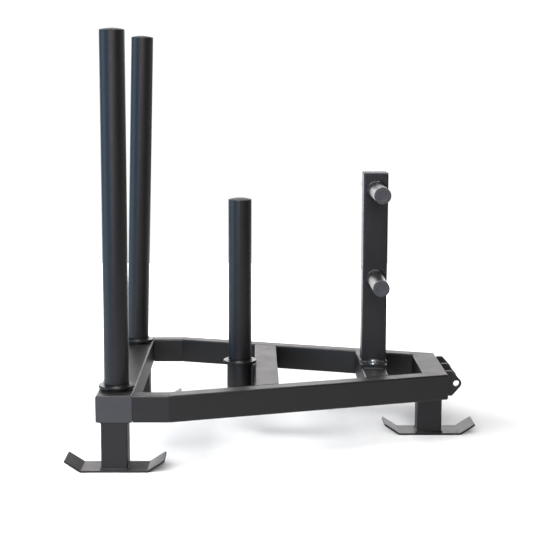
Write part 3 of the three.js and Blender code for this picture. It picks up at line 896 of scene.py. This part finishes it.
class SLED_OT_rails(bpy.types.Operator):
    """Side rails and the straight stubs that join them to the rear tube"""
    bl_idname = "sled.rails"
    bl_label = "Side rails"

    def execute(self, context):
        for side, _ in SIDES:
            make_tube(f"rail_stub_{side}", X_AXIS)
            make_tube(f"side_rail_{side}", rail_heading(side))
        return {"FINISHED"}


class SLED_OT_cross_tubes(bpy.types.Operator):
    """Nose tube, middle cross tube and front cross tube"""
    bl_idname = "sled.cross_tubes"
    bl_label = "Cross tubes"

    def execute(self, context):
        for node in ("nose_tube", "mid_cross_tube"):
            make_tube(node, Y_AXIS)
        drills = []
        for side, _ in SIDES:
            bolt = measure_turned(f"post_bolt_{side}", Z_AXIS)
            hole = measure_turned(f"post_washer_{side}", Z_AXIS).bore
            drills.append(top_drill("front_cross_tube", bolt, hole))
        make_tube("front_cross_tube", Y_AXIS, drills)
        return {"FINISHED"}


class SLED_OT_tow_lugs(bpy.types.Operator):
    """Three eyed plates on the nose"""
    bl_idname = "sled.tow_lugs"
    bl_label = "Tow lugs"

    def execute(self, context):
        shape = shape_settings()
        for node in TOW_LUGS:
            low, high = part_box(node)
            thickness = high.y - low.y
            root = Vector((low.x, (low.y + high.y) / 2, (low.z + high.z) / 2))
            reach = high.x - low.x - shape.lug_nose
            outline = self.outline(reach, (high.z - low.z) / 2)
            bm = skin_plate(outline, upright_place(root), thickness)
            drill(bm, root + Vector((reach, -thickness, 0)), Y_AXIS, shape.lug_eye)
            add_piece(
                f"{node}_coated", bm, "frame", "coat", node, edge=shape.plate_edge,
                edge_steps=PLATE_EDGE_STEPS)
        return {"FINISHED"}

    def outline(self, reach, half, arc_steps=16):
        """Straight shoulders next to the nose tube, and sides that run to a round nose about the eye."""
        shape = shape_settings()
        corner = Vector((shape.lug_shoulder - reach, half))
        turn = math.atan2(corner.y, corner.x) - math.acos(shape.lug_nose / corner.length)
        outline = [Vector((0, half)), Vector((0, -half)), Vector((shape.lug_shoulder, -half))]
        for step in range(arc_steps + 1):
            angle = -turn + 2 * turn * step / arc_steps
            outline.append(Vector((reach, 0)) + shape.lug_nose * Vector((math.cos(angle), math.sin(angle))))
        outline.append(Vector((shape.lug_shoulder, half)))
        return outline


class SLED_OT_legs(bpy.types.Operator):
    """Three square legs"""
    bl_idname = "sled.legs"
    bl_label = "Legs"

    def execute(self, context):
        for node in LEGS:
            make_tube(node, Z_AXIS)
        return {"FINISHED"}


class SLED_OT_skids(bpy.types.Operator):
    """Three plates with their ends bent up"""
    bl_idname = "sled.skids"
    bl_label = "Skids"

    def execute(self, context):
        shape = shape_settings()
        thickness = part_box("front_leg")[0].z - shape.skirt_gap
        for node in SKIDS:
            low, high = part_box(node)
            outline, tip = self.outline((high.x - low.x) / 2, high.z - low.z, thickness)
            centre = Vector(((low.x + high.x) / 2, (low.y + high.y) / 2, low.z))
            bm = skin_plate(outline, upright_place(centre), high.y - low.y)
            skid = add_piece(
                f"{node}_coated", bm, "frame", "coat", node, edge=shape.plate_edge,
                edge_steps=PLATE_EDGE_STEPS)
            self.round_flaps(skid, centre.x, tip - thickness)
        return {"FINISHED"}

    def outline(self, half, rise, thickness):
        """A skid's side, and how far its flaps' lower edges reach out."""
        shape = shape_settings()
        lean = shape.skid_flap
        flap = (rise - thickness * math.cos(lean)) / math.sin(lean)
        flat = half - flap * math.cos(lean)
        tip = Vector((flat + flap * math.cos(lean), flap * math.sin(lean)))
        top = tip + Vector((-math.sin(lean), math.cos(lean))) * thickness
        inner = flat - thickness * math.tan(lean / 2)
        outer_bend = shape.skid_bend + thickness
        corners = [
            (-flat, 0, outer_bend), (flat, 0, outer_bend), (tip.x, tip.y, 0), (top.x, top.y, 0),
            (inner, thickness, shape.skid_bend), (-inner, thickness, shape.skid_bend),
            (-top.x, top.y, 0), (-tip.x, tip.y, 0),
        ]
        return soften(corners, steps=8), tip.x

    def round_flaps(self, skid, middle, reach):
        """Rounds the four corners of a skid's flaps: its edges across the thickness, far out."""
        shape = shape_settings()
        bm = bmesh.new()
        bm.from_mesh(skid.data)
        corners = []
        for edge in bm.edges:
            first, second = (vertex.co for vertex in edge.verts)
            far_out = min(abs(first.x - middle), abs(second.x - middle)) > reach
            if far_out and abs(first.y - second.y) < shape.end_edge:
                corners.append(edge)
        bmesh.ops.bevel(bm, geom=corners, offset=shape.skid_corner, segments=6, profile=0.5, affect="EDGES")
        bm.to_mesh(skid.data)
        bm.free()


class SLED_OT_sockets(bpy.types.Operator):
    """Sockets of the push poles and of the weight post, and the weight socket's saddle"""
    bl_idname = "sled.sockets"
    bl_label = "Sockets"

    def execute(self, context):
        soft = shape_settings().plate_edge
        for node in SOCKETS:
            socket = measure_turned(node, Z_AXIS)
            corners = sleeve(socket, soft, soft, soft)
            make_turned(f"{node}_coated", corners, socket.place, "frame", "coat", node)
        dress_node("weight_socket_saddle", "coat", soft)
        return {"FINISHED"}


class SLED_OT_round_posts(bpy.types.Operator):
    """Push poles and weight post, with their collars and domed plugs"""
    bl_idname = "sled.round_posts"
    bl_label = "Round posts"

    def execute(self, context):
        soft = shape_settings().plate_edge
        for post, collar, cap in ROUND_POSTS:
            axis = lift_axis(post)
            pole = measure_turned(post, axis)
            corners = sleeve(pole, soft, soft, soft)
            make_turned(f"{post}_coated", corners, pole.place, post, "pole coat", post)
            self.make_collar(collar, axis, post)
            self.make_cap(cap, axis, post, pole.bore)
        return {"FINISHED"}

    def make_collar(self, node, axis, body):
        """A ring with soft edges, and the weld that holds it to its post."""
        shape = shape_settings()
        collar = measure_turned(node, axis)
        face = collar.length - shape.collar_weld
        throat = collar.bore + shape.collar_weld
        corners = [
            (collar.bore, 0, shape.plate_edge), (collar.radius, 0, shape.collar_edge),
            (collar.radius, face, shape.collar_edge), (throat, face, shape.plate_edge),
            (collar.bore, collar.length, 0),
        ]
        make_turned(f"{node}_coated", corners, collar.place, body, "weld", node)

    def make_cap(self, node, axis, body, bore, dome_steps=14):
        """A hollow plug with a straight rim and a low dome."""
        shape = shape_settings()
        cap = measure_turned(node, axis)
        rim = shape.cap_rim
        foot = cap.length - shape.cap_dome - rim
        corners = plug_skirt(bore, foot + rim / 2, foot)
        corners += [(cap.radius, foot, rim / 4), (cap.radius, foot + rim, rim / 2)]
        ball = (cap.radius ** 2 + shape.cap_dome ** 2) / (2 * shape.cap_dome)
        for step in range(1, dome_steps + 1):
            radius = cap.radius * (1 - step / dome_steps)
            drop = ball - math.sqrt(ball ** 2 - radius ** 2)
            corners.append((radius, cap.length - drop, 0))
        make_turned(f"{node}_moulded", corners, cap.place, body, "plastic", node)


class SLED_OT_front_post(bpy.types.Operator):
    """Square front post and its flat plug"""
    bl_idname = "sled.front_post"
    bl_label = "Front post"

    def execute(self, context):
        make_tube("front_post", Z_AXIS)
        low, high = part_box("front_post_cap")
        thickness = high.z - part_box("front_post")[1].z - shape_settings().skirt_gap
        middle = Vector(((low.x + high.x) / 2, (low.y + high.y) / 2, high.z))
        half = Vector((high.x - low.x, high.y - low.y)) / 2
        depth = high.z - low.z - thickness
        make_flat_plug("front_post_cap", half, thickness, depth, Matrix.Translation(middle))
        return {"FINISHED"}


class SLED_OT_post_foot(bpy.types.Operator):
    """Flange and base plate of the front post, with its bolts, washers and nuts"""
    bl_idname = "sled.post_foot"
    bl_label = "Front post foot"

    def execute(self, context):
        shape = shape_settings()
        dress_node("post_base_plate", "coat", shape.plate_edge / 2)
        dress_node("post_flange", "coat", shape.plate_edge / 2)
        for side, _ in SIDES:
            dress_node(f"post_nut_{side}", "zinc", shape.end_edge)
            self.make_washer(f"post_washer_{side}")
            self.make_bolt(f"post_bolt_{side}", f"post_washer_{side}")
        return {"FINISHED"}

    def make_washer(self, node):
        shape = shape_settings()
        washer = measure_turned(node, Z_AXIS)
        corners = sleeve(washer, shape.plate_edge, foot_rim=shape.end_edge)
        make_turned(f"{node}_plated", corners, washer.place, "frame", "zinc", node)

    def make_bolt(self, node, washer_node, steps=72):
        """A hexagon head whose corners are cut by a cone, over a plain shank."""
        low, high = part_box(node)
        centre = (low + high) / 2
        gap = shape_settings().skirt_gap
        head_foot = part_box(washer_node)[1].z + gap
        height = high.z - head_foot
        widths = ((high.x - low.x) / 2, (high.y - low.y) / 2)
        flats = min(widths)
        turn = 0 if widths[1] > widths[0] else math.pi / 6
        rings = []
        for share in BOLT_HEIGHTS:
            cone = flats * BOLT_CROWN + (1 - share) * height / math.tan(BOLT_CHAMFER)
            foot_cone = flats + share * height / math.tan(BOLT_CHAMFER)
            ring = []
            for step in range(steps):
                angle = 2 * math.pi * step / steps
                across = (angle + turn) % (math.pi / 3) - math.pi / 6
                radius = min(flats / math.cos(across), cone, foot_cone)
                point = Vector((math.cos(angle), math.sin(angle), 0)) * radius
                point.z = head_foot + share * height
                ring.append(point)
            rings.append(ring)
        crown = rings[-1]
        for share, depth in BOLT_DISH:
            rings.append([Vector((p.x * share, p.y * share, p.z - height * depth)) for p in crown])
        shank = measure_turned(washer_node, Z_AXIS).bore - gap
        foot = [round_ring(Matrix.Translation((0, 0, z)), shank, steps) for z in (low.z, head_foot)]
        offset = Vector((centre.x, centre.y, 0))
        bm = bmesh.new()
        skin_rings(bm, [[p + offset for p in ring] for ring in foot + rings], lids=True)
        add_piece(f"{node}_plated", bm, "frame", "zinc", node)


class SLED_OT_pegs(bpy.types.Operator):
    """Four grip pegs on the front post, with their plugs"""
    bl_idname = "sled.pegs"
    bl_label = "Grip pegs"

    def execute(self, context):
        for name, sign in PEGS:
            node = f"peg_{name}"
            peg = measure_turned(node, Y_AXIS * sign)
            corners = sleeve(peg, shape_settings().plate_edge)
            make_turned(f"{node}_coated", corners, peg.place, "frame", "peg coat", node)
            self.make_plug(f"peg_cap_{name}", Y_AXIS * sign, peg)
        return {"FINISHED"}

    def make_plug(self, node, axis, peg):
        """A hollow plug with a shallow round dish in its face."""
        shape = shape_settings()
        cap = measure_turned(node, axis)
        tube_end = (peg.place @ Vector((0, 0, peg.length))).dot(axis)
        foot = tube_end + shape.skirt_gap - cap.place.translation.dot(axis)
        thickness = cap.length - foot
        foot_edge, face_edge = (thickness * share for share in PEG_EDGES)
        dish = cap.radius * PEG_DISH
        bottom = cap.length - shape.dish_depth
        corners = plug_skirt(peg.bore, foot + thickness * PEG_FLOOR, foot)
        corners += [
            (cap.radius, foot, foot_edge), (cap.radius, cap.length, face_edge),
            (dish + 2 * shape.dish_depth, cap.length, shape.dish_depth),
            (dish, bottom, shape.dish_depth), (0, bottom, 0),
        ]
        make_turned(f"{node}_moulded", corners, cap.place, "frame", "plastic", node)


class SLED_OT_welds(bpy.types.Operator):
    """Weld beads in the corners between the steel pieces"""
    bl_idname = "sled.welds"
    bl_label = "Welds"

    def execute(self, context):
        self.weld_legs()
        self.weld_cross_tubes()
        self.weld_lugs()
        self.weld_sockets()
        self.weld_front_post()
        return {"FINISHED"}

    def weld_legs(self):
        """A bead round each leg's foot, and beads under its tube along the sides not flush with it."""
        shape = shape_settings()
        for node in LEGS:
            low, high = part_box(node)
            foot = level_ring(low, high, low.z - shape.skirt_gap)
            make_weld(f"weld_foot_{node}", [(foot, Z_AXIS, True)])
            top = high.z + shape.skirt_gap
            runs = []
            for start, end in self.head_sides(node, low, high):
                start, end = Vector((*start, top)), Vector((*end, top))
                reach = (end - start).normalized() * shape.tube_corner
                runs.append(([end - reach, start + reach], -Z_AXIS, False))
            make_weld(f"weld_head_{node}", runs)

    def head_sides(self, node, low, high):
        """The welded sides of a leg's head, from corner to corner, the same way round for each leg."""
        if node == "front_leg":
            return [((high.x, high.y), (low.x, high.y)), ((low.x, low.y), (high.x, low.y))]
        left = node == "rear_leg_left"
        outer, inner = (high.y, low.y) if left else (low.y, high.y)
        sides = [
            ((high.x, outer), (high.x, inner)),
            ((low.x, inner), (low.x, outer)),
            ((high.x, inner), (low.x, inner)),
        ]
        return [(end, start) for start, end in sides] if left else sides

    def weld_cross_tubes(self):
        """Upright beads on both faces of a cross tube, where its ends meet the side rails."""
        shape = shape_settings()
        for node in ("mid_cross_tube", "front_cross_tube"):
            tube = measure_tube(node, Y_AXIS)
            low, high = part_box(node)
            runs = []
            for (side, sign), ends in zip(SIDES, (tube.starts, tube.ends)):
                heading = rail_heading(side)
                inward = Vector((-heading.y, heading.x, 0)) * -sign
                for x, y, outward in ((low.x, ends[1], -X_AXIS), (high.x, ends[0], X_AXIS)):
                    foot = Vector((x, y, low.z + shape.tube_corner))
                    head = Vector((x, y, high.z - shape.tube_corner))
                    downward = (head - foot).cross(inward).dot(outward) < 0
                    runs.append(([head, foot] if downward else [foot, head], inward, False))
            make_weld(f"weld_{node}", runs, CROSS_TUBE_WELD)

    def weld_lugs(self):
        margin = shape_settings().tube_corner
        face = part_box("nose_tube")[1].x
        for node in TOW_LUGS:
            low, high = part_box(node)
            runs = side_beads(face, low, high, low.z + margin, high.z - margin, X_AXIS)
            make_weld(f"weld_{node}", runs, PLATE_WELD)

    def weld_sockets(self):
        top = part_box("rear_cross_tube")[1].z
        for side, _ in SIDES:
            socket = measure_turned(f"pole_socket_{side}", Z_AXIS)
            ring = round_ring(Matrix.Translation((*socket.place.translation[:2], top)), socket.radius)
            make_weld(f"weld_pole_socket_{side}", [(ring, Z_AXIS, True)], SOCKET_WELD)
        low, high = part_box("weight_socket_saddle")
        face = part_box("mid_cross_tube")[0].x
        runs = side_beads(face, low, high, low.z, high.z, -X_AXIS)
        make_weld("weld_weight_socket_saddle", runs, PLATE_WELD)

    def weld_front_post(self):
        margin = shape_settings().tube_corner
        low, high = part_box("front_post")
        foot = level_ring(low, high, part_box("post_flange")[1].z)
        make_weld("weld_front_post_foot", [(foot, Z_AXIS, True)])
        plate_low, plate_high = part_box("post_base_plate")
        tube_low, tube_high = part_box("front_cross_tube")
        rear, fore = tube_low.x + margin, tube_high.x - margin
        runs = []
        for y, first, last in ((plate_high.y, fore, rear), (plate_low.y, rear, fore)):
            path = [Vector((first, y, plate_low.z)), Vector((last, y, plate_low.z))]
            runs.append((path, Z_AXIS, False))
        make_weld("weld_post_base_plate", runs, PLATE_WELD)
        for name, sign in PEGS:
            peg = measure_turned(f"peg_{name}", Y_AXIS * sign)
            place = peg.place.copy()
            place.translation.y = outer_y("front_post", sign)
            ring = round_ring(place, peg.radius)
            make_weld(f"weld_peg_{name}", [(ring, Y_AXIS * sign, True)], PEG_WELD)


# Stage

class SLED_OT_stage(bpy.types.Operator):
    """White studio: floor, surroundings, softboxes and camera"""
    bl_idname = "sled.stage"
    bl_label = "Studio stage"

    def execute(self, context):
        floor = self.make_floor(context)
        self.make_surroundings(context)
        self.make_lights(context, floor)
        self.make_camera(context)
        context.scene.view_settings.view_transform = "Standard"
        return {"FINISHED"}

    def make_floor(self, context):
        """A pale floor that fades into the white behind it, and throws less light back than it shows."""
        stage = context.scene.sled_stage
        (left, near), (right, far) = FLOOR
        corners = ((left, near), (right, near), (right, far), (left, far))
        bm = bmesh.new()
        bm.faces.new([bm.verts.new((x, y, 0)) for x, y in corners])
        mesh = bpy.data.meshes.new("studio_floor")
        bm.to_mesh(mesh)
        bm.free()
        floor = bpy.data.objects.new("studio_floor", mesh)
        context.scene.collection.objects.link(floor)
        material, tree, shader = new_material("Studio floor")
        mesh.materials.append(material)
        darkest, clouds = FLOOR_CLOUD
        place = add_node(tree, "ShaderNodeTexCoord").outputs["Object"]
        cloud = add_node(tree, "ShaderNodeTexNoise", Vector=place, Scale=clouds, Detail=3.0)
        darker = opaque(c * darkest for c in stage.floor)
        echo = opaque(c * FLOOR_ECHO for c in stage.floor)
        base = add_mix(tree, cloud.outputs["Fac"], darker, opaque(stage.floor))
        seen = add_node(tree, "ShaderNodeLightPath").outputs["Is Camera Ray"]
        tree.links.new(add_mix(tree, seen, echo, base), shader.inputs["Base Color"])
        shader.inputs["Roughness"].default_value = FLOOR_ROUGHNESS
        shader.inputs["Specular IOR Level"].default_value = FLOOR_GLOSS
        away = add_node(tree, "ShaderNodeSeparateXYZ", Vector=place).outputs["Y"]
        glow = remap(tree, away, GLOW_PLACES, GLOW_LEVELS)
        shade = add_node(tree, "ShaderNodeCombineColor", Red=glow, Green=glow, Blue=glow)
        tree.links.new(shade.outputs["Color"], shader.inputs["Emission Color"])
        shader.inputs["Emission Strength"].default_value = 1.0
        return floor

    def make_surroundings(self, context):
        """Walls and ceiling by heading, plain white where the camera looks."""
        world = bpy.data.worlds.new("White studio")
        world.use_nodes = True
        context.scene.world = world
        tree = world.node_tree
        background = next(n for n in tree.nodes if n.type == "BACKGROUND")
        direction = add_node(tree, "ShaderNodeTexCoord").outputs["Generated"]
        split = add_node(tree, "ShaderNodeSeparateXYZ", Vector=direction)
        toward = add_math(tree, "MULTIPLY", split.outputs["Y"], -1.0)
        heading = add_math(tree, "ARCTAN2", split.outputs["X"], toward)
        turn = add_math(tree, "MULTIPLY_ADD", heading, 0.5 / math.pi, 0.5)
        colour = self.ramp(tree, turn, [(degrees, below) for degrees, below, _ in WALLS])
        above = self.ramp(tree, turn, [(degrees, above) for degrees, _, above in WALLS])
        for (low, high), upper in ((HORIZON, above), (CEILING_EDGE, CEILING)):
            rise = add_node(
                tree, "ShaderNodeMapRange", {"interpolation_type": "SMOOTHSTEP"},
                Value=split.outputs["Z"], From_Min=low, From_Max=high)
            colour = add_mix(tree, rise.outputs["Result"], colour, upper)
        seen = add_node(tree, "ShaderNodeLightPath").outputs["Is Camera Ray"]
        colour = add_mix(tree, seen, colour, CAMERA_WHITE)
        tree.links.new(colour, background.inputs["Color"])
        background.inputs["Strength"].default_value = context.scene.sled_stage.surroundings

    def ramp(self, tree, turn, rows):
        """A colour ramp round the compass that closes on itself."""
        node = add_node(tree, "ShaderNodeValToRGB", Fac=turn)
        stops = node.color_ramp.elements
        for heading, colour in (*rows, (180, rows[0][1])):
            place = heading / 360 + 0.5
            if heading == -180:
                stop = stops[0]
            elif heading == 180:
                stop = stops[len(stops) - 1]
            else:
                stop = stops.new(place)
            stop.position = place
            stop.color = opaque(colour)
        return node.outputs["Color"]

    def make_lights(self, context, floor):
        """Softboxes that light the sled but not the floor, and softboxes for the floor alone."""
        stage = context.scene.sled_stage
        sled_only = bpy.data.collections.new("Not the floor")
        sled_only.objects.link(floor)
        sled_only.collection_objects[0].light_linking.link_state = "EXCLUDE"
        floor_only = bpy.data.collections.new("Floor alone")
        floor_only.objects.link(floor)
        for name, place, size, power, colour in SOFTBOXES:
            light = self.add_softbox(context, name, place, SOFTBOX_AIM, size, power * stage.softboxes, colour)
            light.light_linking.receiver_collection = sled_only
        for name, heading, rise, power in FLOOR_LIGHTS:
            turn, lift = math.radians(heading), math.radians(rise)
            level = Vector((math.sin(turn), -math.cos(turn), 0))
            place = (level * math.cos(lift) + Z_AXIS * math.sin(lift)) * FLOOR_LIGHT_REACH
            light = self.add_softbox(
                context, name, place, (0, 0, 0), FLOOR_LIGHT_SIZE, power * stage.floor_lights, (1, 1, 1))
            light.light_linking.receiver_collection = floor_only

    def add_softbox(self, context, name, place, target, size, power, colour):
        lamp = bpy.data.lights.new(name, "AREA")
        lamp.shape = "RECTANGLE"
        lamp.size, lamp.size_y = size
        lamp.energy = power
        lamp.color = colour
        light = bpy.data.objects.new(name, lamp)
        aim = Vector(target) - Vector(place)
        light.matrix_world = Matrix.Translation(place) @ aim.to_track_quat("-Z", "Y").to_matrix().to_4x4()
        context.scene.collection.objects.link(light)
        return light

    def make_camera(self, context):
        stage = context.scene.sled_stage
        lens = bpy.data.cameras.new("photo_camera")
        lens.lens = stage.focal_length
        lens.sensor_width = SENSOR_WIDTH
        lens.sensor_fit = "HORIZONTAL"
        lens.clip_start = NEAREST_SEEN
        camera = bpy.data.objects.new("photo_camera", lens)
        yaw, pitch = stage.camera_yaw, stage.camera_pitch
        level = Vector((-math.sin(yaw), math.cos(yaw), 0))
        ahead = level * math.cos(pitch) - Z_AXIS * math.sin(pitch)
        rightward = level.cross(Z_AXIS)
        upward = rightward.cross(ahead)
        turn = Matrix((rightward, upward, -ahead)).transposed().to_4x4()
        roll = Matrix.Rotation(stage.camera_roll, 4, "Z")
        camera.matrix_world = Matrix.Translation(stage.camera_place) @ turn @ roll
        context.scene.collection.objects.link(camera)
        context.scene.camera = camera


PIECE_OPERATORS = (
    SLED_OT_rear_tube,
    SLED_OT_end_caps,
    SLED_OT_rails,
    SLED_OT_cross_tubes,
    SLED_OT_tow_lugs,
    SLED_OT_legs,
    SLED_OT_skids,
    SLED_OT_sockets,
    SLED_OT_round_posts,
    SLED_OT_front_post,
    SLED_OT_post_foot,
    SLED_OT_pegs,
    SLED_OT_welds,
    SLED_OT_stage,
)


class SLED_PT_panel(bpy.types.Panel):
    """Lists the sled's pieces and their settings"""
    bl_idname = "SLED_PT_panel"
    bl_label = "Push sled"
    bl_space_type = "VIEW_3D"
    bl_region_type = "UI"
    bl_category = "Push sled"

    def draw(self, context):
        column = self.layout.column(align=True)
        for operator in PIECE_OPERATORS:
            column.operator(operator.bl_idname)
        for group in (context.scene.sled_shape, context.scene.sled_finish, context.scene.sled_stage):
            box = self.layout.box()
            for name in group.__annotations__:
                box.prop(group, name)


CLASSES = (SledShape, SledFinish, SledStage, *PIECE_OPERATORS, SLED_PT_panel)


def register():
    for cls in CLASSES:
        bpy.utils.register_class(cls)
    bpy.types.Scene.sled_shape = PointerProperty(type=SledShape)
    bpy.types.Scene.sled_finish = PointerProperty(type=SledFinish)
    bpy.types.Scene.sled_stage = PointerProperty(type=SledStage)


def unregister():
    del bpy.types.Scene.sled_stage
    del bpy.types.Scene.sled_finish
    del bpy.types.Scene.sled_shape
    for cls in reversed(CLASSES):
        bpy.utils.unregister_class(cls)


def main():
    register()
    for operator in PIECE_OPERATORS:
        category, name = operator.bl_idname.split(".")
        getattr(getattr(bpy.ops, category), name)()


if __name__ == "__main__":
    main()
